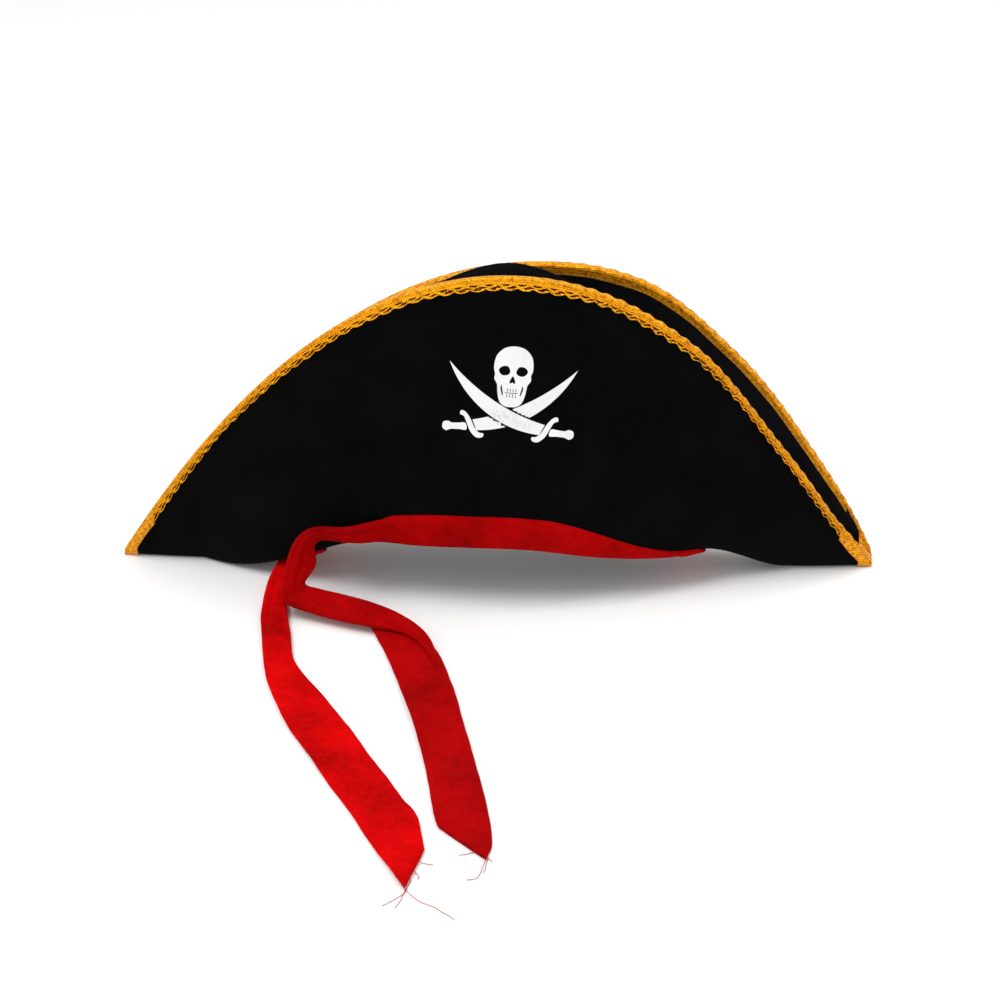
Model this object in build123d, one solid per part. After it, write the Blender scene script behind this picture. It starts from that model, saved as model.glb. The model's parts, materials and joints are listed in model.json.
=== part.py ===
"""Bicorne pirate hat: two stiff crescent brims folded up round a soft crown,
gold trim on their edges, a printed skull with crossed sabres, and a red
fleece headband knotted at the left, whose two tails lie on the table.

X runs from tip to tip, -Y is the front, and Z is up. The origin is the middle
of the head opening. Shape formulas measure height above the table, and
save() moves each piece down by STAND_HEIGHT to the origin's level.
"""
import os
from math import cos, pi, sin, sqrt

from build123d import *

# Driving dimensions, mm.
STAND_HEIGHT = 40.0        # middle of the head opening above the table
TIP_X = 250.0              # crown centre to each tip of the brims
CURVE_END_X = 260.0        # where the two brims' edges would meet
FELT = 1.2                 # face felt and lining felt
STIFFENER = 1.0            # interlining between them
PLY_GAP = 0.3              # clearance between plies
STIFFENER_REACH = 226.0    # the inner plies stop short of the tips
FLEECE = 1.6               # headband fabric
BAND_GAP = 0.6             # clearance between the headband and the brims

# Crown and head opening.
CROWN_HALF_LENGTH = 115.0
CROWN_HALF_WIDTH = 49.0
CROWN_TOP = 219.0
CROWN_BASE = 45.0
CROWN_TAPER = 0.48         # share of the width lost by the top, where the brims lean in
CROWN_FELT = 1.5
CROWN_LIFT = 1.6           # crown's lower edge above the brims' underside
OPENING_CLEARANCE = 1.0    # from the crown to the gussets' inner ends
SWEATBAND_HEIGHT = 25.0
SWEATBAND_THICKNESS = 0.8

# Lower edge of the brims: from CROWN_BASE over the head down to the table in the wings.
LEFT_DESCENT = (60.0, 130.0)    # where it starts and its length
RIGHT_SLOPE = (130.0, 17.0)     # length and fall of the gentle part
RIGHT_DESCENT = (135.0, 70.0)

# Fold line of the wings: y = FOLD_BACKSET + FOLD_SKEW * x.
FOLD_BACKSET = 8.0
FOLD_SKEW = 0.03
FOLD_HALF_WIDTH = 7.0
FOLD_REACH = 200.0         # distance from the centre where the wings are only a fold

# Each brim: (apex x, apex height, length and power left of it, the same right of it).
FRONT, BACK = -1, 1
ARCH = {FRONT: (8.0, 218.0, 264.0, 2.0, 247.0, 2.05), BACK: (28.0, 208.0, 284.0, 2.0, 230.0, 2.3)}
# Slack of each edge on the right: (depth, start, length, end, length).
SLACK = {FRONT: (9.0, 130.0, 60.0, 256.0, 35.0), BACK: (6.5, 95.0, 60.0, 250.0, 50.0)}
RIM_SPREAD = {FRONT: 56.0, BACK: 40.0}
EDGE_SPREAD = {FRONT: 32.0, BACK: 19.0}
EDGE_SPREAD_POWER = 0.65
BULGE_MIDDLE = 4.0
BULGE_WING = 8.0
SEAM_GAP = 0.8             # clearance of the gussets from the brims' lower edges
GUSSET_START = 100.0       # crown centre to the gussets' inner ends

# Gold trim.
BRAID = 1.1
BRAID_WIDTH = 9.0
TAPE = 0.9
TAPE_WIDTH = 8.5
BINDING_RISE = 2.4
TIP_WRAP_LENGTH = 14.0
TIP_WRAP_SPAN = (0.35, 0.98)    # its lower and upper edges, as face_point() counts

# Print on the front.
PRINT_FILM = 0.25
PRINT_CENTRE = (12.0, 145.5)
PRINT_HALF_LENGTH = 55.0
PRINT_TILT = -4.5
PRINT_LIFT = 0.02          # clearance of the film from the felt
PRINT_GAP = 0.9            # bare felt left between the two sabres

# Headband, its knot and its tails.
BAND_LEFT, BAND_RIGHT = -97.0, 137.0
BAND_BACK_LEFT = -108.0
BAND_HEIGHT = 21.0
BAND_KNOT_HEIGHT = 15.0    # gathered where it nears the knot
BAND_GATHER = 70.0         # length over which it gathers
BAND_END_SHARE = 0.08      # share of its height left at the right end
BAND_NARROWING = 105.0     # length over which it slips under the brim at the right
PASS_RIGHT = (121.0, 141.0)
PASS_LEFT = (-130.0, -110.0)
KNOT_CENTRE = (-117.0, -53.0, 45.0)
KNOT_RADII = (18.0, 9.5, 13.0)
TAIL = 2.4
ROOT_THICKNESS = 5.0
STRAND_RADIUS = 6.5
LEFT_HINGE = (-137.0, -98.0)
RIGHT_HINGE = (-57.0, -103.0)
LEFT_ROOT_HALF_WIDTH = 11.0
RIGHT_ROOT_HALF_WIDTH = 14.0
HINGE_GAP = 0.8

# Stitches that tack the brims to the crown.
TACK_HEIGHT = 184.0
TACK_CLEARANCE = 0.7
TACK_OFFSETS = (-5.0, 5.0)
TACK_RADIUS = 0.7

STATIONS = 31
RISES = 9
FIT_TOLERANCE = 0.05
INNER_START = 0.12         # where the inner plies start, as face_point() counts


def smooth(t):
    """Ramp from 0 to 1 with level ends."""
    t = min(max(t, 0.0), 1.0)
    return t * t * (3 - 2 * t)


def mix(a, b, t):
    return a * (1 - t) + b * t


def spaced(start, end, count):
    return [mix(start, end, i / (count - 1)) for i in range(count)]


def fold_y(x):
    return FOLD_BACKSET + FOLD_SKEW * x


def low_z(x):
    """Height of the brims' lower edge: arched over the head, down to the table in the wings."""
    if x < 0:
        start, length = LEFT_DESCENT
        return CROWN_BASE * (1 - smooth((-x - start) / length))
    slope_length, fall = RIGHT_SLOPE
    start, length = RIGHT_DESCENT
    gentle = fall * smooth(x / slope_length)
    return CROWN_BASE - gentle - (CROWN_BASE - fall) * smooth((x - start) / length)


def low_y(side, x):
    """Depth of the brims' lower edge."""
    reach = min(abs(x) / FOLD_REACH, 1.0)
    half = FOLD_HALF_WIDTH * (1 - (x / 270) ** 4)
    return fold_y(x) + side * (RIM_SPREAD[side] * cos(pi / 2 * reach) + half)


def top_z(side, x):
    apex, height, left, left_power, right, right_power = ARCH[side]
    if x < apex:
        return height * (1 - ((apex - x) / left) ** left_power)
    depth, start, ramp, end, fade = SLACK[side]
    slack = depth * smooth((x - start) / ramp) * smooth((end - x) / fade)
    return height * (1 - ((x - apex) / right) ** right_power) - slack


def top_y(side, x):
    spread = (1 - (x / CURVE_END_X) ** 2) ** EDGE_SPREAD_POWER
    return fold_y(x) + side * EDGE_SPREAD[side] * spread


def bulge(x):
    """Outward swell of a brim between its two edges."""
    wing = smooth((abs(x) - 60) / 100)
    return mix(BULGE_MIDDLE, BULGE_WING, wing) * (1 - (x / CURVE_END_X) ** 6)


def face_point(side, x, w):
    """Point on a brim's outer face: w is 0 at the lower edge and 1 at the top edge."""
    t = w * w
    y = mix(low_y(side, x), top_y(side, x), t) + side * bulge(x) * sin(pi * w)
    return Vector(x, y, mix(low_z(x), top_z(side, x), t))


def ply_point(side, x, w, depth):
    """Point at a depth below a brim's outer face."""
    step = 0.01
    across = face_point(side, x + step, w) - face_point(side, x - step, w)
    up = face_point(side, x, w + step) - face_point(side, x, w - step)
    outward = across.cross(up).normalized() * -side
    return face_point(side, x, w) - outward * depth


def section_length(side, x):
    points = [face_point(side, x, w) for w in spaced(0, 1, 25)]
    return sum((b - a).length for a, b in zip(points, points[1:]))


def drop_point(side, x, drop, depth):
    """Point at a distance down from a brim's top edge; a negative drop stands above it."""
    if drop >= 0:
        return ply_point(side, x, sqrt(max(1 - drop / section_length(side, x), 0.0)), depth)
    edge = ply_point(side, x, 1.0, depth)
    below = ply_point(side, x, 0.97, depth)
    return edge + (edge - below).normalized() * -drop


def sheet(point, xs, ws, outer, inner):
    """Closed solid between two depths of a surface sampled at xs by ws."""
    faces = [
        Face.make_surface_from_array_of_points([[point(x, w, depth) for w in ws] for x in xs],
                                               tol=FIT_TOLERANCE)
        for depth in (outer, inner)
    ]
    walls = []
    for edge in faces[0].edges():
        partner = min(faces[1].edges(), key=lambda other: (other @ 0.5 - edge @ 0.5).length)
        walls.append(Face.make_surface_from_curves(edge, partner))
    return Solid(Shell(faces + walls))


def save(shape, node):
    export_step(Pos(0, 0, -STAND_HEIGHT) * shape, f"parts/{node}.step")


# Crown.

def crown_blank(inset):
    """Solid dome of the crown, closed at its top by a small ellipse."""
    rings = []
    for z in (20, 32, 45, 70, 95, 120, 145, 165, 182, 196, 206, 213, 217):
        share = max((z - CROWN_BASE) / (CROWN_TOP - CROWN_BASE), 0)
        length = CROWN_HALF_LENGTH * (1 - share ** 2.5) ** 0.4 - inset
        width = CROWN_HALF_WIDTH * (1 - CROWN_TAPER * share) * sqrt(1 - share ** 6) - inset
        rings.append(Pos(0, 0, z - inset * share) * Ellipse(length, width).wire())
    return Solid.make_loft(rings)


def under_rim(lift):
    """Everything below a line that follows the crown's lower edge."""
    xs = spaced(-CROWN_HALF_LENGTH - 10, CROWN_HALF_LENGTH + 10, 21)
    edge = Spline(*[(x, 0, low_z(x) + lift) for x in xs])
    sides = Polyline(edge @ 1, (xs[-1], 0, -20), (xs[0], 0, -20), edge @ 0)
    return extrude(Face(Wire([edge, *sides.edges()])), amount=100, both=True)


def crown_halves():
    shell = crown_blank(0) - crown_blank(CROWN_FELT) - under_rim(CROWN_LIFT)
    front_space = Box(600, 300, 600, align=(Align.CENTER, Align.MAX, Align.CENTER))
    return shell & front_space, shell - front_space


def sweatband():
    outer = CROWN_FELT + PLY_GAP
    ring = crown_blank(outer) - crown_blank(outer + SWEATBAND_THICKNESS)
    lower = CROWN_LIFT + 1.0
    return (ring & under_rim(lower + SWEATBAND_HEIGHT)) - under_rim(lower)


def make_crown():
    front, back = crown_halves()
    save(front, "crown_front")
    save(back, "crown_back")
    save(sweatband(), "sweatband")


# Brims.

def brim_ply(side, outer, inner, reach, lowest=0.0):
    return sheet(lambda x, w, depth: ply_point(side, x, w, depth),
                 spaced(-reach, reach, STATIONS), spaced(lowest, 1, RISES), outer, inner)


def make_brim(side, name):
    save(brim_ply(side, 0, FELT, TIP_X), f"{name}_brim_felt")
    depth = FELT + PLY_GAP
    save(brim_ply(side, depth, depth + STIFFENER, STIFFENER_REACH, INNER_START), f"{name}_brim_stiffener")
    depth += STIFFENER + PLY_GAP
    save(brim_ply(side, depth, depth + FELT, STIFFENER_REACH, INNER_START), f"{name}_brim_lining")


def make_gusset(direction, name):
    """Flat underside of a wing, joining the two brims and open where the head goes in."""
    def point(x, share, height):
        front = low_y(FRONT, x) + SEAM_GAP
        back = low_y(BACK, x) - SEAM_GAP
        return Vector(x, mix(front, back, share), low_z(x) + height)

    blank = sheet(point, spaced(direction * GUSSET_START, direction * TIP_X, 25),
                  spaced(0, 1, 6), 0, FELT)
    opening = Ellipse(CROWN_HALF_LENGTH + OPENING_CLEARANCE, CROWN_HALF_WIDTH + OPENING_CLEARANCE)
    save(blank - extrude(opening, amount=200, both=True), f"{name}_wing_gusset")


# Gold trim.

def trim_strip(side, start, end, drops, outer, inner):
    return sheet(lambda x, drop, depth: drop_point(side, x, drop, depth),
                 spaced(start, end, STATIONS), drops, outer, inner)


def make_trim(side, name):
    brim_depth = 2 * FELT + STIFFENER + 2 * PLY_GAP
    braid_end = TIP_X - TIP_WRAP_LENGTH - 1
    save(trim_strip(side, -braid_end, braid_end, [0, 3, 6, BRAID_WIDTH], -BRAID, -PLY_GAP),
         f"{name}_gimp_braid")
    save(trim_strip(side, -TIP_X, TIP_X, [-BINDING_RISE, -1.2, -0.2], -0.4, brim_depth + 0.4),
         f"{name}_edge_binding")
    depth = brim_depth + PLY_GAP
    save(trim_strip(side, -STIFFENER_REACH, STIFFENER_REACH, [0.3, 3, 6, TAPE_WIDTH],
                    depth, depth + TAPE), f"{name}_inner_tape")


def make_tip_wraps():
    for side_x, name in ((-1, "left"), (1, "right")):
        start = side_x * (TIP_X - TIP_WRAP_LENGTH)
        wrap = sheet(lambda x, w, depth: ply_point(FRONT, x, w, depth),
                     spaced(start, side_x * TIP_X, 7), spaced(*TIP_WRAP_SPAN, 6), -BRAID, -PLY_GAP)
        save(wrap, f"{name}_tip_wrap")


# Printed emblem: a plain skull over two crossed sabres.

def skull_sketch():
    skull = Pos(0, 18) * Ellipse(12.5, 12.5) + Pos(0, 6.5) * RectangleRounded(16.5, 24, 5)
    for x in (-1, 1):
        skull -= Pos(5.4 * x, 15.5) * Rot(0, 0, 12 * x) * Ellipse(3.8, 3.2)
        skull -= Pos(2.6 * x, 1.6) * Rectangle(0.7, 4.5)
    skull -= Pos(0, 9) * Triangle(a=4.4, b=4.4, c=3)
    return skull - Pos(0, 1.6) * Rectangle(11, 0.7)


def blade_sketch():
    """Blade with its tip up at the left."""
    edge = ThreePointArc((-40, 18), (-15, -11), (20, -24))
    back = ThreePointArc((23, -17.5), (-8, -7), (-40, 18))
    return make_face(edge + Line(edge @ 1, back @ 0) + back)


def hilt_sketch():
    guard = Pos(23, -21) * Rot(0, 0, 72) * SlotOverall(18, 3.2)
    grip = Pos(31, -22.5) * Rot(0, 0, -6) * RectangleRounded(13, 4.4, 1.5)
    return guard + grip + Pos(38.5, -23.2) * Circle(2.6)


def print_on_front(sketch):
    """Wrap a flat design on to the front brim as a thin film."""
    x, z = PRINT_CENTRE
    film = sheet(lambda px, w, depth: ply_point(FRONT, px, w, depth),
                 spaced(x - PRINT_HALF_LENGTH, x + PRINT_HALF_LENGTH, 15),
                 spaced(0.5, 0.96, 9), -PRINT_FILM, -PRINT_LIFT)
    plane = Plane((x, -120, z), x_dir=(1, 0, 0), z_dir=(0, -1, 0))
    stamp = extrude(plane * Rot(0, 0, PRINT_TILT) * sketch, amount=-110)
    return film & stamp


def make_print():
    skull = skull_sketch()
    upper = blade_sketch() + hilt_sketch()
    save(print_on_front(skull), "skull_print")
    save(print_on_front(upper), "upper_sabre_print")
    lower = mirror(upper, about=Plane.YZ) - offset(blade_sketch(), PRINT_GAP)
    save(print_on_front(lower), "lower_sabre_print")


# Red headband.

def band_height(x):
    rise = mix(BAND_KNOT_HEIGHT, BAND_HEIGHT, smooth((x - BAND_LEFT) / BAND_GATHER))
    return rise * mix(BAND_END_SHARE, 1, smooth((BAND_RIGHT - x) / BAND_NARROWING))


def band_stretch(side, start, end):
    def point(x, share, depth):
        w = sqrt(band_height(x) / (top_z(side, x) - low_z(x)))
        return ply_point(side, x, share * w, depth)

    return sheet(point, spaced(start, end, 25), spaced(0, 1, 6), -FLEECE - BAND_GAP, -BAND_GAP)


def band_pass(start, end):
    """Stretch that goes under a wing's root from the front to the back."""
    def point(x, share, depth):
        return Vector(x, mix(low_y(FRONT, x), low_y(BACK, x), share), low_z(x) - depth)

    return sheet(point, spaced(start, end, 6), spaced(0, 1, 6), BAND_GAP, BAND_GAP + FLEECE)


def flat_tail(outline, hinge, radius):
    """Flat tail on the table with a round end that turns about its hinge."""
    body = make_face(Polyline(*outline, close=True)) + Pos(*hinge) * Circle(radius)
    return extrude(body, amount=TAIL)


def left_root():
    """Gathered start of the left tail, from under the wing to the hinge."""
    outline = [(-156, -20), (-134, -20), (-132, -60), (-126, -98), (-148, -98), (-154, -60)]
    blank = extrude(make_face(Polyline(*outline, close=True)), amount=ROOT_THICKNESS)
    return blank - Pos(*LEFT_HINGE) * Cylinder(LEFT_ROOT_HALF_WIDTH + HINGE_GAP, 40)


def right_strand():
    """Twisted run of the right tail, from the knot over the left tail to the right."""
    route = FilletPolyline((-122, -56, 27), (-134, -62, 17), (-114, -72, 11), (-86, -84, 10.5),
                           (-60, -99, 10.5), radius=7)
    start = Plane(route @ 0, z_dir=route % 0)
    return sweep(start * Circle(STRAND_RADIUS), path=route)


def make_headband():
    save(band_stretch(FRONT, BAND_LEFT, BAND_RIGHT), "headband_front")
    save(band_stretch(BACK, BAND_BACK_LEFT, BAND_RIGHT), "headband_back")
    save(band_pass(*PASS_LEFT), "headband_left_pass")
    save(band_pass(*PASS_RIGHT), "headband_right_pass")
    save(Pos(*KNOT_CENTRE) * scale(Sphere(1), by=KNOT_RADII), "headband_knot")
    save(left_root(), "left_tail_root")
    save(right_strand(), "right_tail_root")
    left = [(-148, -98), (-143, -124), (-129, -170), (-115, -203), (-90, -248), (-67, -288),
            (-48, -323), (-28, -359), (-20, -312), (-29, -288), (-49, -251), (-70, -215),
            (-89, -180), (-106, -156), (-121, -130), (-126, -98)]
    right = [(-71, -103), (-57, -139), (-43, -183), (-30, -230), (-16, -297), (2, -314),
             (15, -331), (18, -310), (9, -264), (0, -229), (-12, -178), (-27, -128), (-43, -103)]
    save(flat_tail(left, LEFT_HINGE, LEFT_ROOT_HALF_WIDTH), "left_tail")
    save(flat_tail(right, RIGHT_HINGE, RIGHT_ROOT_HALF_WIDTH), "right_tail")


# Tack stitches.

def crown_half_width(z):
    share = (z - CROWN_BASE) / (CROWN_TOP - CROWN_BASE)
    return CROWN_HALF_WIDTH * (1 - CROWN_TAPER * share) * sqrt(1 - share ** 6)


def make_tacks(side, name):
    """Two thread shanks from the lining to the crown."""
    w = sqrt((TACK_HEIGHT - CROWN_BASE) / (top_z(side, 0) - CROWN_BASE))
    lining = 2 * FELT + STIFFENER + 2 * PLY_GAP
    outer = ply_point(side, 0, w, lining).Y
    inner = side * crown_half_width(TACK_HEIGHT)
    shank = Rot(90, 0, 0) * Cylinder(TACK_RADIUS, abs(outer - inner) - 2 * TACK_CLEARANCE)
    save(Compound([Pos(x, (outer + inner) / 2, TACK_HEIGHT) * shank for x in TACK_OFFSETS]),
         f"{name}_tack_stitches")


if __name__ == "__main__":
    os.makedirs("parts", exist_ok=True)
    make_crown()
    for brim_side, brim_name in ((FRONT, "front"), (BACK, "back")):
        make_brim(brim_side, brim_name)
        make_trim(brim_side, brim_name)
        make_tacks(brim_side, brim_name)
    make_gusset(-1, "left")
    make_gusset(1, "right")
    make_tip_wraps()
    make_print()
    make_headband()
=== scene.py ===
"""Looks of the bicorne pirate hat: felt brims and crown, gold trim, print, red fleece headband.

Shape formulas work in millimetres above the table, and place() turns them into the frame's metres.
"""
import json
import math

import bmesh
import bpy
import numpy as np
from mathutils import Vector
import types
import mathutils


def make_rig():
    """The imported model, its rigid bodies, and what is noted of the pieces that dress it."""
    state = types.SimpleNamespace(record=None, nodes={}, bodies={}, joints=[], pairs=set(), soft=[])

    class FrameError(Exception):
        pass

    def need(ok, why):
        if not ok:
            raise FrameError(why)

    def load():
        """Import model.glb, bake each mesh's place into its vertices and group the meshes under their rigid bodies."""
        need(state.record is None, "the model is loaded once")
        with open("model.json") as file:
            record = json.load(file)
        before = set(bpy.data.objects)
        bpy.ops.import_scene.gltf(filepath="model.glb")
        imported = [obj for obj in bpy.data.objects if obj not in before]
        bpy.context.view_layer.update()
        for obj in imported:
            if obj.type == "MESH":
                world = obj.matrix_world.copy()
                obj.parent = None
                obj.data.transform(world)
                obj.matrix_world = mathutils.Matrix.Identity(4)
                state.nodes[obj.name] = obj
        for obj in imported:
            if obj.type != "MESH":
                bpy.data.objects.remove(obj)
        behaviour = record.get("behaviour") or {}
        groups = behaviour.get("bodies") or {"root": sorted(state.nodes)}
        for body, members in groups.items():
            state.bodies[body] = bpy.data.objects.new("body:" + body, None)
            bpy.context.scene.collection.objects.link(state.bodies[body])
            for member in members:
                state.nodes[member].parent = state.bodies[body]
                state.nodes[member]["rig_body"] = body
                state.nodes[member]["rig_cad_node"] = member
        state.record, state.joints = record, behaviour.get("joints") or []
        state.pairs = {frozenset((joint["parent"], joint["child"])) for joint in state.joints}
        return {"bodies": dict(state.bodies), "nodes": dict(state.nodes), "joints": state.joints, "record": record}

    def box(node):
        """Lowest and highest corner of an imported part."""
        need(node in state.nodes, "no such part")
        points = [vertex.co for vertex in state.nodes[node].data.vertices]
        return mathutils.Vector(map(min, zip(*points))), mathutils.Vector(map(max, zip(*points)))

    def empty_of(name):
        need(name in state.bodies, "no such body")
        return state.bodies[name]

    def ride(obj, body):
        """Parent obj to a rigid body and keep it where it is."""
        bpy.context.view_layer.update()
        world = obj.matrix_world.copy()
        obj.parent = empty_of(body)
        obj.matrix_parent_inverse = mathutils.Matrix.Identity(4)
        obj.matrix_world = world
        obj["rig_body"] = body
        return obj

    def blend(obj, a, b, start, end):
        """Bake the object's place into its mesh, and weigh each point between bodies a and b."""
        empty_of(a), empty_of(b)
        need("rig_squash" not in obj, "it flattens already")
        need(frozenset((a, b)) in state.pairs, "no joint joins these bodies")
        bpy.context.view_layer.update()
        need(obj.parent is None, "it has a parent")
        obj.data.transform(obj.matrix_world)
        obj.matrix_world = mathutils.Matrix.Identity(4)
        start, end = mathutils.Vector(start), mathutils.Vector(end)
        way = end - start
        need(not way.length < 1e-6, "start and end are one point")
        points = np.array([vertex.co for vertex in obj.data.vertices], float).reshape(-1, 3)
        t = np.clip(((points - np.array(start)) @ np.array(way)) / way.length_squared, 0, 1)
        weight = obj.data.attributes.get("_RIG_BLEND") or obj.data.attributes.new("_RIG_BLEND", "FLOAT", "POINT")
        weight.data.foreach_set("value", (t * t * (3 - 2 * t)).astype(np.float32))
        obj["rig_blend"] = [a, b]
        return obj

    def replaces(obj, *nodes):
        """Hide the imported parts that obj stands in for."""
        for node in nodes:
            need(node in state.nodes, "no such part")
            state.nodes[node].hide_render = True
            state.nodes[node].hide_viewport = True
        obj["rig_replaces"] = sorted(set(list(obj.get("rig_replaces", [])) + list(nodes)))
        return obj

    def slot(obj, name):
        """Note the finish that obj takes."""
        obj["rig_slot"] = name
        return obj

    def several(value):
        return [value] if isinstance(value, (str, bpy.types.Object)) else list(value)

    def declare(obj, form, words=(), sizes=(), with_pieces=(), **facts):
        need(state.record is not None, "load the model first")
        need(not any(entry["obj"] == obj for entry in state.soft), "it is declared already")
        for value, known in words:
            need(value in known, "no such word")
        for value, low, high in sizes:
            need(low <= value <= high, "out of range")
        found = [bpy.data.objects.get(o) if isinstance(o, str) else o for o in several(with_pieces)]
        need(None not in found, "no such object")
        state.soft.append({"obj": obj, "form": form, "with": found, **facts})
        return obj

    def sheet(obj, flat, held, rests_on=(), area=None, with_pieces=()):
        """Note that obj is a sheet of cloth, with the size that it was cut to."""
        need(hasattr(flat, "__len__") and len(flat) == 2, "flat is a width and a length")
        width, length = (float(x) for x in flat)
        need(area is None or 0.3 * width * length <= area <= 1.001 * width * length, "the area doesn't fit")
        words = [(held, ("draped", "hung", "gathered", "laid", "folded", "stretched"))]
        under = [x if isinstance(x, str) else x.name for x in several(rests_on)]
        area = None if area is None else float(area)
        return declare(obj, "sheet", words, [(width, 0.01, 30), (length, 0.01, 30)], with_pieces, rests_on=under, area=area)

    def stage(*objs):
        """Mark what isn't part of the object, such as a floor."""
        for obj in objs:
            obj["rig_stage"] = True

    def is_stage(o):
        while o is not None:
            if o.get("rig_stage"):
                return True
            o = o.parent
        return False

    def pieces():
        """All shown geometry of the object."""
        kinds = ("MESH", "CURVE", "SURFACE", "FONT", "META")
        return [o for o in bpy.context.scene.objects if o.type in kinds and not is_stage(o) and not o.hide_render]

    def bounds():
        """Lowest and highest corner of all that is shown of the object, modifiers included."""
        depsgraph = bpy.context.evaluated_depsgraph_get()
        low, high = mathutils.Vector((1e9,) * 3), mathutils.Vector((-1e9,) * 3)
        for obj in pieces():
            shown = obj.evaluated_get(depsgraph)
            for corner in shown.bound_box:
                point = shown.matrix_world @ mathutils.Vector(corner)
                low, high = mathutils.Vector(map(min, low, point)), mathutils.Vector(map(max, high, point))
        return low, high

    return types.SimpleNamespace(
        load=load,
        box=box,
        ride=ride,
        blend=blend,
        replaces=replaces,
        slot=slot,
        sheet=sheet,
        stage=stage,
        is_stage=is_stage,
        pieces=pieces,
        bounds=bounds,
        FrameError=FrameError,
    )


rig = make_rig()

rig.load()
cad_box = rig.bounds()

MM = 0.001
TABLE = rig.box("left_tail")[0][2]
FRONT, BACK = -1, 1
NAMES = {FRONT: "front", BACK: "back"}

# The hat's driving dimensions, mm, as in the CAD part, carried on to the points of the tips.
TIP_X = 254.5
CURVE_END_X = 260.0
CROWN_HALF_LENGTH, CROWN_HALF_WIDTH = 115.0, 49.0
CROWN_TOP, CROWN_BASE, CROWN_TAPER, CROWN_FELT = 218.5, 45.0, 0.48, 1.5
CROWN_LIFT = 1.6                # crown's lower edge above the brims' underside
CROWN_LEAN = 9.0                # how far its top leans to the right
CROWN_CLOSE = 0.995             # where its top closes, as crown_point() counts
CROWN_SEAM_HEIGHT, CROWN_SEAM_WIDTH = 0.9, 1.6
SWEATBAND_SPAN, SWEATBAND_GAP, SWEATBAND_DEPTH = (0.008, 0.085), 0.2, 1.1
FOLD_BACKSET, FOLD_SKEW, FOLD_HALF_WIDTH, FOLD_REACH = 8.0, 0.03, 7.0, 200.0
FOLD_END_X = 270.0              # where the fold's half width would reach 0
LEFT_DESCENT = (60.0, 130.0)    # where the lower edge starts down to the table, and its length
RIGHT_SLOPE = (130.0, 17.0)     # length and fall of its gentle part
RIGHT_DESCENT = (135.0, 70.0)

# Each brim's top edge: (apex x, apex height, length and power left of it, the same right of it),
# and its slack on the right: (depth, start, length, end, length).
ARCH = {FRONT: (8.0, 218.0, 264.0, 2.0, 247.0, 2.05), BACK: (28.0, 208.0, 284.0, 2.0, 230.0, 2.3)}
SLACK = {FRONT: (9.0, 130.0, 60.0, 256.0, 35.0), BACK: (6.5, 95.0, 60.0, 250.0, 50.0)}
RIM_SPREAD = {FRONT: 56.0, BACK: 40.0}
EDGE_SPREAD = {FRONT: 32.0, BACK: 19.0}
EDGE_SPREAD_POWER = 0.65
BULGE_MIDDLE, BULGE_WING = 4.0, 8.0
BULGE_GROWTH = (60.0, 100.0)    # where the wings' swell starts, and its length
OPENING_END = (104.0, 119.0)    # where the head opening starts to close, and where it is closed
RIM_TURN_IN = 4.0
SEAM_GAP = 0.05

# Unevenness of the felt: (length, slant, phase, height) of each ripple, and how it grows and fades.
RIPPLES = ((31, 2.1, 1, 0.9), (17, -3.3, 2, 0.4))
RIPPLE_MIDDLE = 0.2
RIPPLE_GROWTH, RIPPLE_FADE = (55, 90), (250, 40)

# Plies, mm, and how they thin out towards the tips: (start, length, share lost).
FELT = 1.2
STIFFENER = 1.0
BRIM_DEPTH = 3.5
TIP_THINNING = (205, 40, 0.72)
STIFFENER_START, LINING_START = 0.05, 0.03  # their lower edges, as face_point() counts
BRIM_STATIONS, BRIM_RISES, TURN_RISES = 241, 72, 12

# Gold trim, mm.
BRAID_WIDTH, BRAID_PITCH, BRAID_TWIST, BRAID_SINK, BRAID_STOP = 6.6, 10.0, 1.7, 0.15, 17
BRAID_ACROSS = 30
BRAID_SPREAD = (170, 55, 0.42, 0.126)   # start, length, and share added at the left and the right
BINDING_ROPE, BINDING_YARN = 0.28, 1.1
BINDING_PROFILE = (     # (drop, depth) round the folded tape
    (1.2, -0.2), (0.8, -1.0), (0.0, -1.4), (-1.1, -1.1), (-1.9, 0.2), (-2.1, 1.8), (-1.9, 3.2),
    (-1.1, 4.4), (0.2, 4.7), (1.2, 4.3), (1.8, 3.6), (0.2, 3.4), (-0.4, 1.8), (0.2, 0.1),
)
TAPE_WIDTH, TAPE_REACH, TAPE_SLACK, TAPE_STEP = 5.6, 236, 0.25, 1.6
TAPE_DEPTHS = (0.1, 0.9)        # below the lining
STITCH_LENGTH, STITCH_INSET, STITCH_REACH, STITCH_SHARE, STITCH_DEPTH = 3.2, 1.2, 224, 0.62, 1.0
STITCH_SHAPE = ((0, 0.05), (0.15, 0.26), (0.5, 0.3), (0.85, 0.26), (1, 0.05))
PUCKER_GROWTH = (10, 70)
WRAP_WIDTH, WRAP_START, WRAP_OVERHANG, WRAP_LIFT = 11.5, 9.0, 0.8, 1.2
WRAP_CLOSING, WRAP_CLEARANCE = 0.7, 0.1
WRAP_LEG, WRAP_LEG_DEPTHS = (24.0, 6.0), (-1.5, 0.1)

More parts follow.
